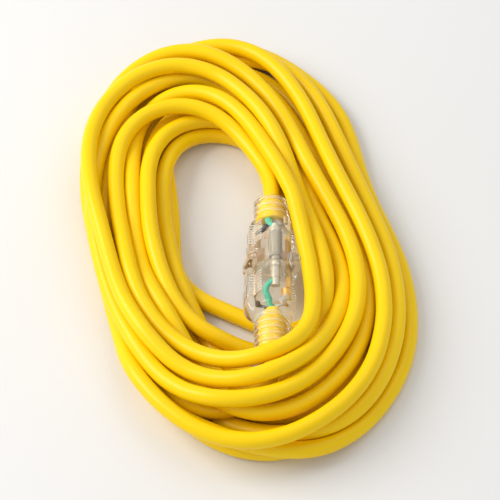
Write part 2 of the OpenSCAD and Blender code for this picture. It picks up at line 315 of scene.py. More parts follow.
# ---------------------------------------------------------------- cord
# centreline of the whole cord in mm, from the connector's strain relief to the plug's
ROUTE = np.array([float(q) for q in """
15.0 15.2 22.0  15.0 22.7 21.8  14.2 30.1 21.2  12.1 37.3 20.3  9.1 44.1 19.6  5.5 50.7 19.3  1.5 57.0 19.2  -2.9 63.1 19.5
-7.8 68.7 20.2  -13.4 73.6 21.2  -19.7 77.6 22.2  -26.6 80.3 23.1  -34.0 81.5 23.7  -41.4 81.1 24.0  -48.7 79.1 24.2  -55.3 75.5 24.2
-60.9 70.6 24.1  -65.4 64.6 23.8  -68.7 57.9 23.6  -70.8 50.7 23.3  -71.9 43.3 23.0  -72.3 35.8 22.8  -72.2 28.3 22.7  -71.7 20.8 22.6
-70.9 13.4 22.7  -70.0 5.9 22.9  -68.8 -1.5 23.3  -67.4 -8.8 23.7  -66.0 -16.2 24.3  -64.4 -23.5 24.9  -62.8 -30.8 25.3  -60.8 -38.0 25.5
-58.5 -45.2 25.4  -55.6 -52.1 25.0  -52.1 -58.7 24.6  -48.1 -65.0 24.1  -43.5 -70.9 23.8  -38.3 -76.4 23.7  -32.7 -81.3 24.1  -26.7 -85.7 25.0
-20.3 -89.4 26.4  -13.7 -92.4 28.4  -6.9 -94.4 30.7  0.1 -95.3 33.3  7.2 -94.8 35.6  14.2 -92.9 37.1  20.8 -89.4 36.5  26.4 -84.6 35.2
30.8 -78.7 33.4  33.8 -72.1 31.7  35.7 -65.0 30.1  36.5 -57.7 28.9  36.7 -50.2 28.1  36.3 -42.8 27.6  35.6 -35.3 27.4  34.7 -27.8 27.3
33.4 -20.4 27.4  32.2 -13.1 27.7  30.8 -5.7 28.1  29.5 1.7 28.5  28.1 9.0 28.9  26.3 16.3 29.1  23.7 23.3 28.8  21.0 30.3 28.5
18.0 37.2 28.0  14.8 44.0 27.5  11.6 50.7 26.9  8.3 57.4 26.2  4.8 64.0 25.6  1.0 70.5 24.9  -3.2 76.6 24.3  -8.0 82.3 23.7
-13.6 87.3 23.0  -19.9 91.3 22.1  -26.8 93.9 21.0  -34.1 94.8 19.6  -41.3 93.8 18.0  -48.0 90.7 16.4  -53.5 85.9 15.1  -57.7 79.8 14.2
-60.6 72.8 14.0  -62.4 65.6 14.6  -63.3 58.2 15.8  -63.7 50.9 17.2  -63.7 43.5 18.7  -63.5 36.1 19.7  -63.2 28.6 20.2  -62.8 21.1 20.2
-62.2 13.7 19.9  -61.4 6.2 19.4  -60.5 -1.2 19.1  -59.5 -8.7 19.0  -58.2 -16.1 19.1  -56.8 -23.4 19.5  -55.0 -30.6 20.3  -52.5 -37.7 21.3
-49.5 -44.5 22.1  -46.0 -51.1 22.2  -42.2 -57.5 21.5  -38.5 -63.8 19.9  -34.8 -70.0 17.8  -31.2 -76.2 15.6  -27.4 -82.4 13.5  -23.4 -88.4 11.6
-19.1 -94.3 9.9  -14.2 -99.8 8.3  -8.6 -104.6 6.9  -2.4 -108.6 5.8  4.4 -111.6 5.1  11.7 -113.4 4.7  19.2 -113.8 4.6  26.6 -112.8 4.6
33.7 -110.4 4.6  40.2 -106.6 4.6  45.9 -101.8 4.6  50.7 -96.0 4.6  54.7 -89.7 4.6  58.0 -82.9 4.6  60.5 -75.9 4.6  62.5 -68.7 4.6
63.9 -61.3 4.6  64.6 -53.8 4.6  64.7 -46.3 4.6  64.1 -38.8 4.6  63.1 -31.4 4.6  61.7 -24.0 4.6  60.1 -16.7 4.6  58.3 -9.4 4.6
56.4 -2.1 4.6  54.4 5.1 4.6  52.3 12.3 4.6  49.9 19.4 4.6  47.3 26.4 4.6  44.3 33.3 4.6  41.0 40.1 4.6  37.3 46.6 4.6
33.1 52.8 4.6  28.4 58.6 4.6  23.2 64.1 4.6  17.7 69.1 4.6  11.8 73.8 4.6  5.7 78.1 4.6  -0.9 81.7 4.6  -7.9 84.4 4.6
-15.3 85.6 4.6  -22.8 85.2 4.6  -29.9 82.9 4.6  -36.1 78.8 4.6  -40.9 73.1 4.6  -44.0 66.3 4.6  -45.3 58.9 4.6  -45.3 51.4 4.6
-44.5 43.9 4.6  -43.5 36.5 4.6  -42.5 29.1 4.6  -41.7 21.6 4.6  -41.0 14.1 4.6  -40.5 6.7 4.6  -40.2 -0.8 4.6  -39.8 -8.3 4.6
-38.9 -15.8 4.6  -37.1 -23.0 4.6  -33.7 -29.7 4.6  -28.8 -35.4 4.6  -23.0 -40.1 4.6  -16.5 -43.9 4.6  -9.9 -47.4 4.6  -3.2 -50.8 4.6
3.5 -54.2 4.6  10.2 -57.5 4.6  17.2 -60.2 4.9  24.6 -61.0 5.9  31.6 -59.6 7.9  37.8 -55.9 9.9  42.3 -50.3 12.0  44.8 -43.4 13.4
45.2 -36.0 14.0  44.0 -28.6 14.1  41.7 -21.4 13.9  39.0 -14.5 13.6  35.8 -7.7 13.2  32.5 -1.0 12.7  29.0 5.7 12.1  25.5 12.3 11.5
22.0 18.8 10.9  18.6 25.6 10.5  15.7 32.5 10.3  13.3 39.6 10.4  11.4 46.8 10.9  9.5 54.0 11.7  7.1 61.1 12.6  3.5 67.6 13.3
-1.6 73.1 13.4  -7.9 77.1 13.3  -15.1 79.2 13.2  -22.5 79.3 13.5  -29.7 77.4 14.4  -36.2 73.9 15.8  -41.6 69.0 17.4  -46.0 63.2 19.0
-49.4 56.6 20.3  -51.9 49.6 21.3  -53.4 42.3 21.9  -54.2 34.9 22.4  -54.3 27.4 22.8  -54.0 19.9 23.1  -53.6 12.4 23.3  -52.9 4.9 23.3
-52.1 -2.5 23.2  -50.9 -9.9 23.0  -49.3 -17.3 22.6  -47.4 -24.5 22.0  -45.2 -31.6 21.1  -42.6 -38.6 20.1  -39.6 -45.3 18.9  -35.9 -51.8 17.8
-31.4 -57.7 16.7  -25.9 -62.7 15.6  -19.8 -66.7 14.1  -13.1 -69.6 12.2  -6.4 -71.8 9.6  0.5 -73.4 7.2  7.6 -74.4 5.3  15.1 -74.8 4.7
22.5 -74.2 5.4  29.3 -72.2 7.7  34.9 -68.7 11.3  39.0 -63.8 15.2  41.7 -57.7 18.6  43.2 -50.8 21.2  44.0 -43.5 22.6  44.0 -36.1 23.3
43.3 -28.6 23.4  42.1 -21.2 23.1  40.5 -13.9 22.6  38.7 -6.7 21.9  36.7 0.5 21.0  34.6 7.7 20.3  32.5 14.9 19.8  30.4 22.1 19.8
28.3 29.3 20.3  26.1 36.4 21.2  23.9 43.4 22.6  21.4 50.3 24.3  18.5 57.0 25.9  15.3 63.7 27.1  11.8 70.3 27.6  8.1 76.8 27.3
4.2 83.1 26.4  -0.1 89.3 25.3  -4.8 95.0 24.4  -10.1 100.3 24.0  -16.2 104.7 23.9  -22.9 108.0 24.3  -30.1 110.0 24.8  -37.5 110.7 25.3
-45.0 109.9 25.6  -52.1 107.9 25.7  -58.9 104.6 25.6  -65.0 100.3 25.5  -70.5 95.1 25.4  -75.2 89.3 25.4  -79.1 82.9 25.6  -82.3 76.1 26.0
-84.7 69.1 26.4  -86.4 61.8 26.9  -87.4 54.3 27.3  -87.7 46.9 27.7  -87.6 39.4 27.9  -87.0 31.9 28.2  -86.0 24.4 28.3  -84.7 17.1 28.4
-83.1 9.7 28.3  -81.2 2.5 28.2  -79.3 -4.8 28.0  -77.4 -12.0 27.7  -75.5 -19.3 27.4  -73.6 -26.5 27.3  -71.6 -33.8 27.3  -69.4 -41.0 27.4
-67.0 -48.0 27.7  -64.2 -55.0 28.1  -60.9 -61.7 28.6  -57.2 -68.3 28.8  -53.2 -74.6 28.8  -48.7 -80.6 28.3  -43.9 -86.3 27.7  -38.7 -91.6 27.1
-32.8 -96.3 26.8  -26.5 -100.3 27.2  -19.8 -103.5 28.3  -12.9 -105.8 30.0  -5.8 -107.2 32.1  1.4 -107.4 34.2  8.6 -106.3 36.0  15.6 -104.0 37.0
22.2 -100.4 36.1  27.9 -95.9 34.3  32.7 -90.8 31.7  37.0 -85.2 29.2  40.8 -79.2 26.8  44.2 -72.9 24.6  47.3 -66.3 22.7  50.0 -59.5 21.2
51.9 -52.4 19.8  53.0 -45.0 18.7  53.4 -37.6 17.7  53.1 -30.2 16.7  52.0 -22.8 15.8  50.4 -15.5 15.0  48.4 -8.4 14.4  46.0 -1.2 14.0
43.5 5.8 13.8  41.0 12.9 13.7  38.5 20.0 13.8  36.1 27.1 13.8  33.8 34.2 13.7  31.5 41.4 13.6  29.0 48.4 13.5  26.1 55.4 13.4
22.9 62.1 13.4  19.2 68.7 13.2  15.3 75.0 12.8  11.0 81.2 12.0  6.4 87.1 11.5  1.5 92.7 11.4  -3.8 98.0 11.7  -9.6 102.7 12.4
-16.1 106.4 13.4  -23.1 108.6 14.5  -30.5 109.2 15.5  -37.9 108.1 16.5  -44.8 105.6 17.6  -51.2 101.8 18.7  -57.0 97.1 19.8  -62.2 91.8 20.7
-66.9 86.0 21.3  -71.0 79.7 21.5  -74.6 73.2 21.4  -77.7 66.3 21.1  -80.1 59.2 20.6  -82.0 52.0 20.0  -83.4 44.6 19.6  -84.3 37.2 19.3
-84.9 29.7 19.2  -85.1 22.2 19.1  -84.9 14.7 19.2  -84.3 7.3 19.3  -83.3 -0.2 19.3  -82.0 -7.6 19.3  -80.6 -14.9 19.2  -78.9 -22.2 19.1
-77.1 -29.5 19.1  -75.1 -36.8 19.1  -72.8 -43.9 19.2  -70.3 -51.0 19.5  -67.5 -57.9 20.0  -64.6 -64.8 20.7  -61.3 -71.5 21.3  -57.9 -78.2 22.0
-54.2 -84.7 22.4  -50.2 -91.0 22.8  -45.8 -97.0 23.3  -40.8 -102.6 24.1  -35.2 -107.5 25.3  -29.2 -111.7 26.8  -22.7 -114.9 28.6  -15.8 -117.3 30.2
-8.5 -118.5 31.4  -1.0 -118.6 32.0  6.4 -117.6 32.1  13.6 -115.6 31.7  20.5 -112.6 31.0  26.8 -108.7 30.0  32.6 -104.0 28.8  37.8 -98.8 27.5
42.5 -93.1 26.2  46.7 -87.0 25.0  50.6 -80.7 24.1  54.0 -74.0 23.3  56.9 -67.2 22.8  59.2 -60.0 22.5  60.8 -52.7 22.2  61.6 -45.2 22.0
61.8 -37.8 21.6  61.3 -30.3 21.3  60.3 -22.9 20.9  58.8 -15.5 20.5  56.8 -8.3 20.3  54.5 -1.2 20.1  51.8 5.8 20.1  48.9 12.8 20.2
45.9 19.6 20.5  42.8 26.4 20.9  39.7 33.3 21.3  36.7 40.1 21.6  33.8 47.1 21.8  31.0 54.0 21.8  28.3 61.0 21.6  25.5 68.0 21.2
22.6 74.9 20.9  19.4 81.7 20.7  15.8 88.3 20.6  11.8 94.6 20.7  7.2 100.5 21.0  2.2 106.1 21.4  -3.4 111.1 21.9  -9.3 115.6 22.3
-15.8 119.4 22.6  -22.7 122.3 22.6  -29.9 124.2 22.1  -37.3 124.9 21.2  -44.7 124.2 20.1  -51.8 122.3 18.8  -58.4 119.0 17.5  -64.4 114.7 16.3
-69.6 109.4 15.3  -74.1 103.4 14.6  -77.7 96.8 14.1  -80.8 90.0 13.9  -83.2 82.9 13.8  -85.2 75.6 13.8  -86.8 68.3 13.7  -88.0 60.9 13.5
-88.8 53.5 13.1  -89.2 46.0 12.5  -89.2 38.5 11.7  -88.7 31.1 10.8  -87.9 23.7 9.9  -86.7 16.4 8.8  -85.3 9.1 7.8  -83.7 1.8 6.8
-82.0 -5.5 6.1  -80.2 -12.7 5.6  -78.4 -20.0 5.6  -76.5 -27.3 5.9  -74.8 -34.5 6.6  -73.0 -41.8 7.6  -71.3 -49.0 8.7  -69.5 -56.2 9.9
-67.7 -63.3 11.2  -65.9 -70.5 12.7  -64.1 -77.6 14.4  -62.0 -84.5 16.2  -59.3 -91.3 18.1  -56.0 -97.8 19.6  -52.0 -104.1 20.6  -47.5 -110.1 21.1
-42.6 -115.7 21.4  -37.2 -120.9 21.5  -31.4 -125.7 21.7  -25.2 -129.9 21.9  -18.6 -133.4 22.2  -11.6 -136.2 22.5  -4.3 -137.9 23.0  3.1 -138.7 23.5
10.6 -138.3 23.9  17.9 -136.8 24.3  25.0 -134.4 24.6  31.7 -131.1 24.6  38.1 -127.1 24.5  44.0 -122.5 24.1  49.5 -117.5 23.5  54.6 -111.9 22.9
59.1 -106.0 22.3  63.1 -99.7 21.7  66.5 -93.0 21.2  69.4 -86.1 20.8  71.6 -78.9 20.5  73.3 -71.6 20.2  74.5 -64.2 19.9  75.2 -56.8 19.8
75.3 -49.3 19.7  75.0 -41.8 19.6  74.3 -34.3 19.6  73.1 -26.9 19.6  71.5 -19.6 19.7  69.6 -12.3 19.9  67.4 -5.2 20.2  64.9 1.9 20.6
62.3 8.9 20.9  59.6 15.9 21.2  56.8 22.9 21.3  54.1 29.9 21.3  51.4 36.9 21.2  48.9 44.0 20.8  46.5 51.0 20.3  44.1 58.2 19.8
41.8 65.3 19.3  39.5 72.4 18.9  37.0 79.5 18.7  34.3 86.5 18.5  31.2 93.3 18.5  27.8 100.0 18.5  24.0 106.5 18.6  19.8 112.6 18.6
14.9 118.4 18.6  9.5 123.6 18.3  3.5 128.0 17.6  -3.1 131.5 16.7  -10.1 133.8 15.7  -17.4 134.8 14.5  -24.9 134.4 13.4  -32.1 132.9 12.4
-39.1 130.2 11.4  -45.6 126.6 10.4  -51.5 122.2 9.2  -56.9 117.2 8.1  -61.7 111.5 6.9  -65.8 105.3 5.9  -69.3 98.7 5.2  -72.1 91.8 4.7
-74.2 84.6 4.6  -75.6 77.2 4.6  -76.3 69.7 4.6  -76.5 62.2 4.6  -76.2 54.7 4.6  -75.4 47.3 4.6  -74.4 39.8 4.6  -72.9 32.5 4.6
-71.1 25.2 4.6  -69.1 18.0 4.6  -66.9 10.8 4.6  -64.8 3.6 4.6  -62.6 -3.6 4.6  -60.5 -10.8 4.6  -58.2 -17.9 4.6  -55.8 -25.0 4.6
-53.2 -32.1 4.6  -50.6 -39.1 4.6  -48.0 -46.2 4.6  -45.4 -53.2 4.6  -42.8 -60.2 4.6  -39.8 -67.1 4.6  -36.6 -73.9 4.6  -33.2 -80.6 4.6
-30.1 -87.4 4.6  -27.3 -94.4 4.6  -24.0 -101.1 4.6  -20.0 -107.5 4.6  -15.0 -113.0 4.6  -9.1 -117.7 5.1  -2.8 -121.4 6.4  3.9 -124.3 8.1
10.9 -126.5 9.8  18.1 -127.8 11.4  25.5 -128.3 12.7  32.9 -127.8 13.6  40.2 -126.1 14.1  47.1 -123.2 14.3  53.5 -119.2 14.4  59.1 -114.3 14.3
64.1 -108.7 14.1  68.4 -102.6 14.0  72.1 -96.0 13.8  75.2 -89.2 13.7  77.7 -82.2 13.6  79.8 -74.9 13.5  81.4 -67.6 13.5  82.4 -60.2 13.4
83.0 -52.7 13.4  83.1 -45.2 13.3  82.8 -37.7 13.3  82.1 -30.2 13.2  81.0 -22.8 13.2  79.6 -15.4 13.1  77.8 -8.2 13.0  75.8 -0.9 12.9
73.6 6.2 12.8  71.3 13.4 12.7  68.9 20.5 12.7  66.5 27.6 12.6  64.0 34.7 12.5  61.6 41.8 12.4  59.2 48.9 12.3  56.9 56.0 12.2
54.5 63.1 12.1  52.1 70.2 12.1  49.6 77.3 12.1  46.9 84.3 12.1  43.9 91.2 12.1  40.6 97.9 12.2  36.7 104.3 12.2  32.2 110.3 12.1
27.1 115.8 11.8  21.3 120.5 11.2  15.0 124.4 10.3  8.2 127.6 9.1  1.2 129.8 8.0  -6.1 131.3 6.9  -13.5 131.7 6.0  -20.9 130.9 5.3
-28.1 128.8 4.8  -34.9 125.5 4.6  -41.0 121.2 4.6  -46.5 116.1 4.6  -51.3 110.3 4.6  -55.4 104.1 4.6  -58.8 97.4 4.6  -61.6 90.4 4.6
-63.9 83.3 4.7  -65.5 76.0 5.1  -66.6 68.6 5.8  -67.3 61.2 6.9  -67.6 53.8 8.3  -67.8 46.5 9.8  -68.1 39.1 11.3  -68.4 31.7 12.5
-68.6 24.3 13.3  -68.7 16.8 13.6  -68.4 9.3 13.5  -67.7 1.8 13.1  -66.5 -5.6 12.7  -64.9 -12.9 12.3  -63.1 -20.2 12.0  -61.0 -27.4 11.7
-59.0 -34.6 11.2  -57.1 -41.8 10.3  -55.3 -49.0 9.1  -53.3 -56.1 7.8  -51.1 -63.1 6.6  -48.4 -70.1 5.9  -45.2 -76.9 6.1  -41.3 -83.2 7.3
-37.1 -89.0 9.5  -32.6 -94.3 12.3  -28.1 -99.4 15.3  -23.4 -104.5 18.3  -18.3 -109.5 20.7  -12.6 -114.1 22.1  -6.1 -117.7 22.5  1.1 -120.0 22.2
8.5 -120.9 21.7  15.9 -120.2 21.1  23.1 -118.2 20.6  29.9 -115.0 20.1  36.1 -110.9 19.7  41.8 -106.0 19.1  46.8 -100.5 18.4  51.3 -94.5 17.6
55.3 -88.2 16.7  58.6 -81.6 15.9  61.5 -74.7 15.1  63.8 -67.6 14.4  65.6 -60.3 14.0  66.8 -52.9 13.7  67.4 -45.4 13.4  67.3 -37.9 13.2
66.7 -30.5 13.1  65.7 -23.0 12.9  64.3 -15.7 12.8  62.6 -8.4 12.7  60.7 -1.1 12.7  58.6 6.1 12.7  56.4 13.3 12.7  54.0 20.4 12.8
51.4 27.4 12.7  48.6 34.4 12.7  45.7 41.3 12.5  42.7 48.1 12.2  39.5 55.0 11.8  36.4 61.8 11.4  33.2 68.5 11.1  29.9 75.3 10.8
26.5 82.0 10.7  22.9 88.5 10.6  18.9 94.9 10.7  14.4 100.9 10.9  9.3 106.4 11.3  3.6 111.2 11.8  -2.8 115.1 12.3  -9.6 118.0 12.9
-16.9 119.8 13.4  -24.4 120.4 13.7  -31.8 119.8 13.9  -39.1 117.9 14.0  -46.0 115.0 13.9  -52.3 110.9 13.7  -57.7 105.8 13.3  -62.3 99.8 12.8
-65.8 93.2 12.4  -68.5 86.2 12.3  -70.5 79.0 12.4  -72.1 71.7 12.8  -73.5 64.3 13.2  -74.7 56.9 13.5  -75.8 49.5 13.7  -76.7 42.0 13.7
-77.4 34.6 13.6  -77.8 27.1 13.6  -77.9 19.6 13.6  -77.7 12.1 13.5  -77.1 4.6 13.3  -76.2 -2.8 13.1  -74.9 -10.2 12.9  -73.2 -17.5 12.8
-71.2 -24.8 13.0  -69.0 -32.0 13.3  -66.7 -39.1 13.6  -64.3 -46.2 13.9  -61.8 -53.3 13.9  -59.4 -60.4 13.9  -57.3 -67.6 13.7  -55.4 -74.8 13.6
-53.8 -82.1 13.4  -52.1 -89.4 13.1  -49.9 -96.6 12.8  -46.9 -103.5 12.5  -42.7 -109.7 12.5  -37.6 -115.1 12.8  -31.7 -119.7 13.1  -25.3 -123.7 13.5
-18.6 -127.1 13.8  -11.8 -130.1 13.9  -4.8 -132.8 14.0  2.4 -135.1 14.0  9.7 -136.8 13.7  17.1 -137.9 13.3  24.5 -138.1 12.5  31.9 -137.2 11.4
39.0 -135.2 10.1  45.7 -132.1 8.7  51.9 -128.0 7.4  57.6 -123.3 6.3  62.9 -118.1 5.4  67.8 -112.5 4.9  72.3 -106.5 4.6  76.4 -100.2 4.6
80.0 -93.6 4.6  83.1 -86.8 4.6  85.7 -79.7 4.6  87.6 -72.5 4.6  89.0 -65.1 4.6  89.8 -57.6 4.6  90.1 -50.1 4.6  90.0 -42.6 4.6
89.4 -35.2 4.6  88.4 -27.7 4.6  87.1 -20.3 4.6  85.3 -13.1 4.6  83.2 -5.9 4.6  80.8 1.3 4.6  78.3 8.3 4.6  75.7 15.4 4.6
73.1 22.4 4.6  70.8 29.5 4.6  68.7 36.7 4.6  66.8 44.0 4.6  65.2 51.3 4.6  63.7 58.7 4.6  62.2 66.0 4.6  60.5 73.3 4.6
58.5 80.6 4.6  56.0 87.6 4.6  52.8 94.4 4.6  48.9 100.8 4.6  44.4 106.9 4.6  39.5 112.5 4.6  34.2 117.8 4.6  28.7 122.9 4.6
22.8 127.6 4.6  16.7 131.9 4.6  10.1 135.5 4.6  3.1 138.2 4.6  -4.2 140.0 4.6  -11.6 140.8 4.6  -19.1 140.7 4.6  -26.6 139.9 4.6
-33.9 138.4 4.6  -41.1 136.2 4.6  -48.0 133.4 4.6  -54.6 129.7 4.6  -60.6 125.3 4.6  -66.1 120.1 4.6  -70.8 114.3 4.6  -74.9 108.0 4.6
-78.3 101.3 4.6  -81.0 94.3 4.6  -83.0 87.1 4.6  -84.5 79.7 4.6  -85.3 72.3 4.6  -85.6 64.8 4.6  -85.5 57.3 4.6  -84.9 49.8 4.6
-84.0 42.4 4.6  -82.7 35.0 4.6  -81.1 27.6 4.6  -79.2 20.4 4.6  -77.2 13.2 4.6  -75.1 6.0 4.6  -73.0 -1.3 4.6  -71.1 -8.5 4.6
-69.4 -15.8 4.6  -67.8 -23.2 4.6  -66.3 -30.5 4.6  -64.9 -37.9 4.6  -63.7 -45.3 4.6  -62.5 -52.7 4.6  -61.1 -60.1 4.6  -59.2 -67.3 4.6
-56.7 -74.4 4.6  -53.7 -81.3 4.6  -50.3 -88.0 4.6  -46.7 -94.5 4.6  -42.7 -100.9 4.6  -38.3 -107.0 4.6  -33.5 -112.7 4.6  -28.2 -118.0 4.6
-22.5 -122.9 4.6  -16.3 -127.1 4.6  -9.6 -130.5 4.6  -2.6 -133.1 4.6  4.8 -134.6 4.6  12.3 -135.1 4.6  19.7 -134.3 4.6  27.0 -132.5 4.6
33.9 -129.5 4.6  40.3 -125.7 4.6  46.1 -120.9 4.6  51.2 -115.4 4.6  55.5 -109.3 4.6  59.3 -102.8 4.6  62.6 -96.1 4.6  65.6 -89.2 4.6
68.2 -82.1 4.6  70.4 -75.0 4.6  72.2 -67.7 4.6  73.4 -60.3 4.6  73.9 -52.8 4.6  73.9 -45.3 4.6  73.4 -37.8 4.6  72.3 -30.4 4.6
71.0 -23.0 4.6  69.4 -15.7 4.6  67.6 -8.4 4.6  65.7 -1.1 4.6  63.7 6.1 4.6  61.6 13.3 4.6  59.4 20.5 4.6  57.1 27.6 4.6
54.7 34.7 4.6  52.2 41.8 4.6  49.7 48.9 4.6  47.0 55.9 4.6  44.4 62.9 4.6  41.6 69.9 4.6  38.7 76.8 4.6  35.7 83.6 4.6
32.3 90.4 4.6  28.6 96.9 4.6  24.3 103.0 4.6  19.4 108.7 4.6  13.8 113.7 4.6  7.6 117.8 4.6  0.7 120.7 4.6  -6.7 122.3 4.6
-14.1 122.5 4.6  -21.5 121.2 4.6  -28.5 118.5 4.6  -34.8 114.4 4.6  -40.2 109.3 4.6  -44.9 103.4 4.6  -48.8 97.0 4.6  -51.9 90.2 4.6
-54.3 83.1 4.6  -56.1 75.8 4.6  -57.4 68.4 4.6  -58.4 61.0 4.6  -59.2 53.5 4.6  -59.8 46.0 4.6  -59.9 38.5 4.6  -59.7 31.0 4.6
-59.0 23.5 4.6  -57.9 16.1 4.6  -56.4 8.8 4.6  -54.6 1.5 4.6  -52.5 -5.7 4.6  -50.2 -12.9 4.6  -47.8 -20.0 4.6  -45.3 -27.1 4.6
-42.7 -34.1 4.6  -40.1 -41.1 4.6  -37.5 -48.1 4.6  -34.8 -55.2 4.6  -32.0 -62.1 4.6  -28.8 -68.9 4.6  -25.2 -75.5 4.6  -20.9 -81.6 4.6
-15.9 -87.2 4.6  -10.2 -92.1 4.6  -4.0 -96.4 4.6  2.7 -99.6 4.6  9.9 -101.6 4.6  17.4 -102.1 4.6  24.8 -101.0 4.6  31.8 -98.3 4.6
38.0 -94.1 4.6  43.3 -88.8 4.6  47.5 -82.6 4.6  50.7 -75.9 4.6  53.1 -68.7 4.6  54.7 -61.4 4.6  55.5 -54.0 4.6  55.6 -46.5 4.6
55.0 -39.0 4.6  53.8 -31.6 4.6  52.3 -24.2 4.6  50.6 -16.9 4.6  48.8 -9.6 4.6  46.9 -2.4 4.6  44.9 4.8 4.6  42.6 12.0 4.6
40.2 19.1 4.6  37.5 26.1 4.6  34.3 32.9 4.6  30.7 39.5 4.6  26.7 45.8 4.6  22.1 51.7 4.6  17.0 57.2 4.6  11.5 62.3 4.6
5.5 66.9 4.6  -0.9 70.8 4.6  -7.8 73.7 4.6  -15.2 74.9 4.9  -22.5 74.1 5.8  -29.3 71.3 7.3  -34.9 66.7 9.2  -39.1 60.9 11.3
-42.2 54.2 12.9  -44.3 47.1 13.9  -45.7 39.8 14.2  -46.3 32.3 13.9  -46.3 24.8 13.5  -45.9 17.3 13.1  -45.2 9.8 13.0  -44.2 2.4 13.0
-43.0 -5.0 13.3  -41.6 -12.3 13.7  -39.8 -19.6 13.9  -37.7 -26.8 13.7  -35.3 -33.9 12.9  -32.4 -40.7 11.4  -29.4 -47.3 9.5  -26.2 -53.8 7.6
-23.0 -60.4 6.0  -19.6 -67.0 4.9  -15.7 -73.3 4.6  -10.9 -79.1 4.6  -5.2 -83.9 4.6  1.4 -87.5 4.6  8.6 -89.6 4.6  16.1 -89.9 4.6
23.4 -88.3 4.6  30.1 -84.9 4.6  35.8 -80.0 4.6  40.2 -74.0 4.6  43.5 -67.3 4.6  45.5 -60.1 4.6  46.4 -52.6 4.6  46.3 -45.1 4.6
45.4 -37.7 4.6  44.1 -30.3 4.6  42.5 -22.9 4.6  40.8 -15.6 4.6  39.0 -8.4 4.6  37.0 -1.1 4.6  34.8 6.1 4.7  32.5 13.2 5.2
30.1 20.2 6.2  27.6 27.1 7.7  25.0 33.9 9.7  22.4 40.5 12.0  19.9 47.2 14.3  17.4 54.0 16.3  14.8 60.8 17.8  11.7 67.6 18.6
7.9 74.1 18.4  3.2 79.8 17.5  -2.4 84.6 16.2  -8.9 88.1 14.7  -16.0 90.0 13.4  -23.5 90.1 12.6  -30.7 88.4 12.2  -37.4 84.9 11.9
-43.0 80.0 11.8  -47.4 74.0 11.8  -50.7 67.2 11.8  -53.0 60.1 12.0  -54.4 52.7 12.3  -55.2 45.3 12.6  -55.7 37.8 12.8  -55.8 30.3 13.0
-55.5 22.8 13.2  -55.0 15.3 13.4  -54.2 7.9 13.6  -53.2 0.4 13.7  -52.2 -7.0 13.7  -51.3 -14.4 13.5  -50.4 -21.9 13.2  -49.5 -29.3 13.0
-48.6 -36.8 13.0  -47.7 -44.2 13.2  -47.0 -51.7 13.5  -46.5 -59.2 13.9  -46.1 -66.6 14.5  -45.7 -74.1 15.1  -44.9 -81.6 15.5  -43.5 -88.9 15.7
-41.1 -96.0 15.3  -37.4 -102.5 14.7  -32.3 -107.9 13.9  -26.1 -112.1 13.3  -19.0 -114.5 13.1  -11.6 -115.0 13.5  -4.3 -113.5 14.6  2.2 -110.5 16.6
7.8 -106.1 18.7  12.4 -100.3 20.2  15.0 -93.5 21.5  15.0 -86.0 22.0
""".split()]).reshape(-1, 3)
SPLIT = 1003
CORD_R = 4.6
line = spline(ROUTE, 2.4)
near = int(np.argmin(np.linalg.norm(line[-400:] - ROUTE[SPLIT], axis=1))) + len(line) - 400 if len(line) > 400 else 0
main_line, lead_line = line[: near + 1], line[near:]

main = tube("cord_main", main_line, CORD_R, 20, YELLOW)
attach(main, "root")
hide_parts("cord_coil", "cord_crossing_turn", "cord_lead_connector")

lead = tube("cord_plug_lead", lead_line[::-1], CORD_R, 20, YELLOW)
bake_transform(lead)
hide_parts("cord_lead_plug")

# ---------------------------------------------------------------- clear mouldings
# Each moulding is one closed skin found from a distance field in the pair's own frame, in mm.


def box3(x, y, z, c, h, r):
    qx, qy, qz = np.abs(x - c[0]) - (h[0] - r), np.abs(y - c[1]) - (h[1] - r), np.abs(z - c[2]) - (h[2] - r)
    return np.sqrt(np.maximum(qx, 0) ** 2 + np.maximum(qy, 0) ** 2 + np.maximum(qz, 0) ** 2) + np.minimum(np.maximum(np.maximum(qx, qy), qz), 0) - r


def rect2(a, b, ha, hb, r):
    qa, qb = np.abs(a) - (ha - r), np.abs(b) - (hb - r)
    return np.sqrt(np.maximum(qa, 0) ** 2 + np.maximum(qb, 0) ** 2) + np.minimum(np.maximum(qa, qb), 0) - r


def slab(d2, t, lo, hi, r):
    """A flat section d2 drawn out along t from lo to hi with its edges rounded by r."""
    a, b = d2 + r, np.abs(t - (lo + hi) / 2) - (hi - lo) / 2 + r
    return np.sqrt(np.maximum(a, 0) ** 2 + np.maximum(b, 0) ** 2) + np.minimum(np.maximum(a, b), 0) - r


def join(a, b, k):
    h = np.clip(0.5 + 0.5 * (b - a) / k, 0, 1)
    return b + (a - b) * h - k * h * (1 - h)


def barrel(x, y, z, lo, hi, R, r):
    return slab(np.hypot(x, z) - R, y, lo, hi, r)


def hump(x, z):
    return join(np.hypot(x, z - 3) - 10, rect2(x, z + 4, 11, 6.5, 4), 2.5)


def relief(x, y, z, y0, l, way):
    """Ringed strain relief from y0 over the length l, away from the moulding, its end rounded over."""
    lo, hi = (y0, y0 + l) if way > 0 else (y0 - l, y0)
    d = barrel(x, y, z, lo, hi, 9.1, 4.2)
    # the inner end runs on into the body, so it isn't rounded
    d = np.minimum(d, barrel(x, y, z, y0 - 4 if way > 0 else y0 - l / 2, y0 + l / 2 if way > 0 else y0 + 4, 9.1, 1.0))
    i = 0
    while 1.2 + i * 4 < l - 4:
        c = y0 + way * (2.2 + i * 4)
        d = join(d, barrel(x, y, z, c - 1.05, c + 1.05, 10.0, 0.85), 0.5)
        i += 1
    return d


def ribs(x, y, z, y0, top):
    d = np.full(np.broadcast(x, y, z).shape, 1e3)
    for s in (-1, 1):
        for i in range(8):
            d = np.minimum(d, box3(x, y, z, (s * 10.0 - 0.5, y0 + 0.4 + i * 1.7, top), (2.6, 0.42, 0.85), 0.3))
    return d


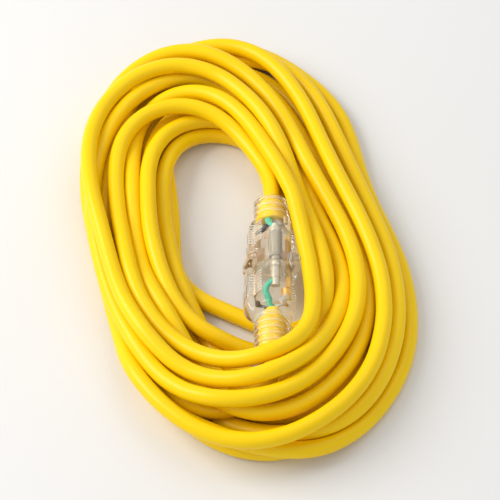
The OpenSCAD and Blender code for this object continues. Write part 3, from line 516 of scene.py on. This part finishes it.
def plug_field(x, y, z):
    d = slab(hump(x, z), y, -28.5, -0.12, 1.4)
    plan = join(rect2(x + 0.7, y + 19, 13.6, 12, 8), rect2(x + 0.7, y + 10, 13.3, 9.9, 1.5), 2.0)
    d = join(d, slab(plan, z, -9, 2, 2.2), 1.6)
    d = np.maximum(d, y + 0.12)
    d = join(d, barrel(x, y, z, -34, -24, 10, 2), 1.5)
    d = join(d, relief(x, y, z, -31, 23, -1), 0.6)
    return join(d, ribs(x, y, z, -19, 1.95), 0.25)


def connector_field(x, y, z):
    # the face stands 0.35 mm back from the insert's, because two clear faces in one plane render black
    d = slab(rect2(x, z, 15, 12, 6), y, 0.35, 6, 1.3)
    d = join(d, slab(hump(x, z), y, 3, 31, 1.4), 1.4)
    plan = join(rect2(x, y - 20.5, 12.4, 12.5, 7), rect2(x, y - 10, 12.4, 8, 1.5), 2.0)
    d = join(d, slab(plan, z, -9, 2, 2.2), 1.6)
    d = join(d, barrel(x, y, z, 27, 36, 10, 2), 1.5)
    d = join(d, relief(x, y, z, 33, 14, 1), 0.6)
    return join(d, ribs(x, y, z, 14, 1.95), 0.25)


def skin(field, lo, hi, h):
    """Closed quad skin of field < 0 on a grid of h, one vertex in each cell that the surface crosses, drawn onto the surface."""
    ax = [np.arange(a, b + h, h) for a, b in zip(lo, hi)]
    X, Y, Z = np.meshgrid(*ax, indexing="ij", sparse=True)
    D = field(X, Y, Z).astype(np.float32)
    S = D < 0
    n0, n1, n2 = D.shape
    corners = [(i, j, k) for i in (0, 1) for j in (0, 1) for k in (0, 1)]
    cs = [S[i : n0 - 1 + i, j : n1 - 1 + j, k : n2 - 1 + k] for i, j, k in corners]
    total = sum(c.astype(np.int8) for c in cs)
    cell = (total > 0) & (total < 8)
    idx = np.full(cell.shape, -1, np.int64)
    I, J, K = np.nonzero(cell)
    idx[I, J, K] = np.arange(len(I))
    acc, cnt = np.zeros((len(I), 3)), np.zeros(len(I))
    for a in corners:
        for d in range(3):
            if a[d]:
                continue
            b = list(a)
            b[d] = 1
            va, vb = D[I + a[0], J + a[1], K + a[2]], D[I + b[0], J + b[1], K + b[2]]
            m = (va < 0) != (vb < 0)
            t = va[m] / (va[m] - vb[m])
            p = np.tile(np.array(a, float), (m.sum(), 1))
            p[:, d] = t
            acc[m] += p
            cnt[m] += 1
    V = np.stack([ax[0][I], ax[1][J], ax[2][K]], 1) + acc / cnt[:, None] * h
    for _ in range(2):
        e = 0.02
        f = field(V[:, 0], V[:, 1], V[:, 2])
        g = np.stack([field(V[:, 0] + e * (d == 0), V[:, 1] + e * (d == 1), V[:, 2] + e * (d == 2)) - f for d in range(3)], 1) / e
        V -= np.clip(f / np.maximum((g * g).sum(1), 0.25), -0.3 * h, 0.3 * h)[:, None] * g
    F = []
    for d, (e, f) in enumerate(((1, 2), (2, 0), (0, 1))):
        a = [slice(None)] * 3
        b = [slice(None)] * 3
        a[d], b[d] = slice(0, -1), slice(1, None)
        cr = S[tuple(a)] != S[tuple(b)]
        q = list(np.nonzero(cr))
        keep = (q[e] > 0) & (q[f] > 0) & (q[e] < D.shape[e] - 1) & (q[f] < D.shape[f] - 1)
        q = [v[keep] for v in q]
        inside_first = S[tuple(q)]

        def at(de, df):
            w = list(q)
            w[e], w[f] = w[e] - de, w[f] - df
            return idx[tuple(w)]

        quad = np.stack([at(1, 1), at(0, 1), at(0, 0), at(1, 0)], 1)
        quad[~inside_first] = quad[~inside_first][:, ::-1]
        F.append(quad)
    return V, np.vstack(F)


def moulding(name, field, lo, hi, mat, rings, rib_y, h=0.32):
    V, F = skin(field, lo, hi, h)
    o = mesh_object(name, out(V) * MM, F, mat)
    x, y, z = V.T
    r = np.hypot(x, z)
    # painted highlight mask: ring crests of the strain reliefs and the grip-rib crests, where the clear material is
    # made pale
    painted_crest_highlight = np.zeros(len(V))
    for c in rings:
        painted_crest_highlight = np.maximum(painted_crest_highlight, (r > 9.35) * np.exp(-(((np.abs(y - c) - 0.75) / 0.33) ** 2)))
    for s in (-1, 1):
        for i in range(8):
            near_rib = (np.abs(x - s * 10.0 + 0.5) < 2.7) & (z > 2.15)
            painted_crest_highlight = np.maximum(painted_crest_highlight, 1.35 * near_rib * np.exp(-(((y - rib_y - 0.4 - i * 1.7) / 0.42) ** 2)))
    o.data.attributes.new("painted_crest_highlight", "FLOAT", "POINT").data.foreach_set("value", painted_crest_highlight.astype(np.float32))
    return o


shell_c = moulding("connector_moulding", connector_field, (-16, -1, -13), (16, 48.5, 14.5), CLEAR, [35.2, 39.2, 43.2], 14)
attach(shell_c, "root")
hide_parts("connector_body")
shell_p = moulding("plug_moulding", plug_field, (-15.5, -55.5, -12), (15.5, 1, 14.5), CLEAR, [-33.2 - 4 * i for i in range(5)], -19)
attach(shell_p, "plug")
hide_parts("plug_body")

# ---------------------------------------------------------------- jacket ends and cores inside the mouldings


def local_tube(name, pts, radii, mat, body, node=None, sides=20, step=0.5):
    C = spline(out(pts), step)
    if not np.isscalar(radii):
        s = np.linspace(0, 1, len(C))
        radii = np.interp(s, *zip(*radii))
    o = tube(name, C, radii, sides, mat)
    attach(o, body)
    if node:
        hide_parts(node)
    return o


# plug: the jacket's cut end tapers down onto the cores
local_tube("plug_jacket_cut_end", [(0, -54.2, 0), (0, -44, 0), (0, -34, 0), (0.1, -28, 0.3), (0.2, -24.6, 0.6)],
           [(0, 4.6), (0.04, 4.6), (0.14, 6.3), (0.70, 6.3), (0.78, 5.8), (0.87, 4.1), (0.96, 2.5), (0.995, 1.7), (1, 0.9)], YELLOW, "plug", "plug_jacket_end")
local_tube("plug_core_green", [(-0.5, -26.4, 0.9), (-1.4, -24, 2.6), (-3.0, -21, 4.4), (-4.3, -18.2, 5.6), (-4.0, -15.6, 6.6), (-2.2, -13.4, 7.5), (-0.6, -12.2, 7.9)],
           1.5, GREEN, "plug", "plug_wire_green", 16)
local_tube("plug_core_white", [(0.9, -26.4, 0.9), (1.9, -24, 1.2), (3.9, -20.6, 0.4), (5.6, -17.6, -1.8), (6.35, -15.0, -3.9)],
           1.5, WHITE, "plug", "plug_wire_white", 16)
local_tube("plug_core_black", [(0, -27.4, -1.4), (-0.3, -24.4, -4.0), (-2.0, -20.8, -6.2), (-5.0, -17.6, -5.2), (-6.35, -15.0, -4)],
           1.1, BLACK, "plug", "plug_wire_black", 16)
# connector
local_tube("connector_jacket_cut_end", [(0, 47.2, 0), (0, 42, 0), (0, 37, 0), (0, 32.6, 0), (0, 31.0, 0)],
           [(0, 4.6), (0.10, 4.6), (0.24, 6.3), (0.90, 6.3), (0.97, 6.0), (1, 5.0)], YELLOW, "root", "connector_jacket_end")
local_tube("connector_core_green", [(-1.3, 32.6, 1.0), (-2.0, 30.2, 3.0), (-2.4, 27.6, 5.2), (-1.6, 24.8, 7.0), (0, 22.6, 7.8)],
           1.5, GREEN, "root", "connector_wire_green", 16)
local_tube("connector_core_white", [(1.5, 32.6, 0.9), (2.6, 30, 1.0), (4.6, 27, -0.9), (5.9, 24.8, -2.9), (6.35, 22.6, -3.9)],
           1.5, WHITE, "root", "connector_wire_white", 16)
local_tube("connector_core_black", [(0, 33.4, -2.4), (-0.3, 30.4, -5.0), (-1.8, 27.6, -6.4), (-4.6, 25.2, -5.4), (-6.35, 22.6, -4)],
           1.1, BLACK, "root", "connector_wire_black", 16)

# painted highlights: small opaque white beads near the mating face, standing in for bright glints in the resin
rng = np.random.default_rng(5)
glint_verts, glint_faces = [], []


def bead(c, r):
    n, k = 8, 5
    base = len(glint_verts)
    P = [(0, 0, 1)] + [(math.sin(math.pi * i / k) * math.cos(2 * math.pi * j / n), math.sin(math.pi * i / k) * math.sin(2 * math.pi * j / n), math.cos(math.pi * i / k))
                       for i in range(1, k) for j in range(n)] + [(0, 0, -1)]
    for p in P:
        glint_verts.append(out(np.array(c) + r * np.array(p)) * MM)
    for j in range(n):
        glint_faces.append((base, base + 1 + j, base + 1 + (j + 1) % n))
        glint_faces.append((base + len(P) - 1, base + 1 + (k - 2) * n + (j + 1) % n, base + 1 + (k - 2) * n + j))
        for i in range(k - 2):
            a, b = base + 1 + i * n + j, base + 1 + i * n + (j + 1) % n
            glint_faces.append((a, a + n, b + n, b))


for c, r in (((-0.6, -3.2, 11.6), 0.42), ((0.9, -3.4, 11.7), 0.5), ((-3.1, -7.0, 11.0), 0.38), ((4.4, -9.2, 10.4), 0.34), ((3.0, -1.6, 11.2), 0.26)):
    bead(c, r)
glint_beads_obj = mesh_object("moulding_glint_beads", glint_verts, glint_faces, GLINT_BEAD_MAT)
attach(glint_beads_obj, "plug")

# ---------------------------------------------------------------- carried-over CAD nodes
for node, mat in {
    "plug_bridge": INSERT, "connector_insert": INSERT,
    "plug_blade_hot": BRASS, "plug_blade_neutral": BRASS, "plug_ground_pin": NICKEL,
    "contact_hot": BRASS, "contact_neutral": BRASS, "contact_ground": NICKEL,
    "indicator_lamp": LAMP, "lamp_resistor": RESISTOR, "lamp_leads": TINNED,
}.items():
    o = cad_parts[node]
    o.data.materials.clear()
    o.data.materials.append(mat)

# ---------------------------------------------------------------- floor, light, world
floor_m = Nodes("Floor")
fb = floor_m.add("ShaderNodeBsdfPrincipled")
floor_m.set(fb.inputs["Base Color"], floor_m.ramp(floor_m.noise(3.0, 4.0), [(0.2, (0.78, 0.77, 0.75)), (0.8, (0.81, 0.80, 0.78))]))
fb.inputs["Roughness"].default_value = 0.75
fb.inputs["Specular IOR Level"].default_value = 0.2
floor_mat = floor_m.finish(fb.outputs["BSDF"])
floor = mesh_object("Floor", [(-3, -3, 0), (3, -3, 0), (3, 3, 0), (-3, 3, 0)], [(0, 1, 2, 3)], floor_mat, False)


def area(name, at, size, watts, colour=(1, 1, 1), aim=(0, 0, 0.01)):
    d = bpy.data.lights.new(name, "AREA")
    d.shape = "DISK"
    d.size = size
    d.energy = watts
    d.color = colour
    o = link(bpy.data.objects.new(name, d))
    o.location = at
    o.rotation_mode = "QUATERNION"
    o.rotation_quaternion = (Vector(aim) - Vector(at)).to_track_quat("-Z", "Y")
    return o


area("Key", (-1.20, 0.22, 1.02), 1.15, 20.0, (1.0, 0.985, 0.955))
area("Fill", (0.5, 0.6, 1.5), 1.2, 3.0, (1.0, 0.995, 0.98))

world = bpy.data.worlds.new("World")
scene.world = world
world.use_nodes = True
bg = world.node_tree.nodes["Background"]
bg.inputs["Color"].default_value = (0.96, 0.97, 1.0, 1)
bg.inputs["Strength"].default_value = 0.64
scene.view_settings.view_transform = "Standard"
scene.view_settings.look = "None"
scene.view_settings.exposure = 0.0

bpy.context.view_layer.update()
